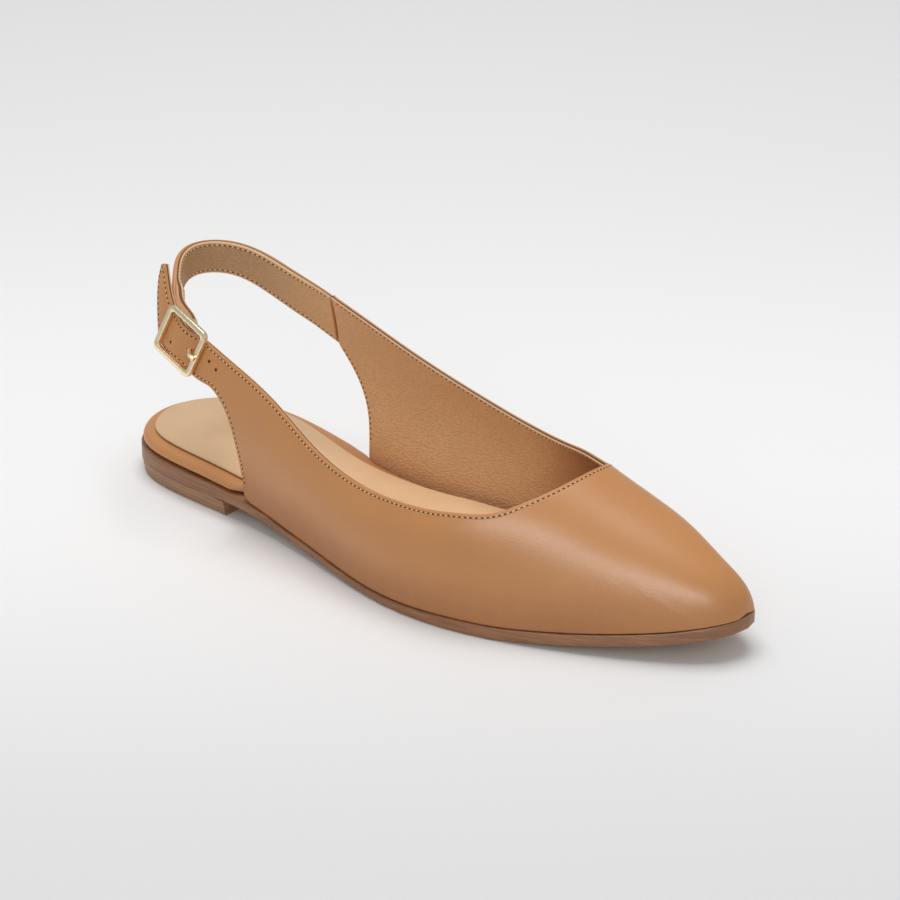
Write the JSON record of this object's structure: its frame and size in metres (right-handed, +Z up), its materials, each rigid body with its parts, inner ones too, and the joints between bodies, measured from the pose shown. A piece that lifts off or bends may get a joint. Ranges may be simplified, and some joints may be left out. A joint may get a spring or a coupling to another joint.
{
  "type": "sling back flat",
  "caption": "Women's pointed flat shoe with low quarters, open heel, sling strap and side buckle, on a low stacked heel.",
  "frame": {"origin": "middle of the box round the shoe, on the floor that it stands on", "axes": "+X towards the toe, +Z up, -Y towards the outer side with the buckle"},
  "size_m": [0.265, 0.0811, 0.0879],
  "materials": {
    "tan_leather": "smooth, soft sheen",
    "sole_leather": "waxed edge",
    "stacked_heel": "waxed stacked leather",
    "sock_leather": "matt",
    "gold_metal": "polished pale gold"
  },
  "bodies": {
    "root": {"outsole": "sole_leather", "heel": "stacked_heel", "footbed": "tan_leather", "insole": "sock_leather", "upper": "tan_leather", "sling_strap": "tan_leather", "buckle": "gold_metal", "buckle_prong": "gold_metal"}
  },
  "joints": []
}
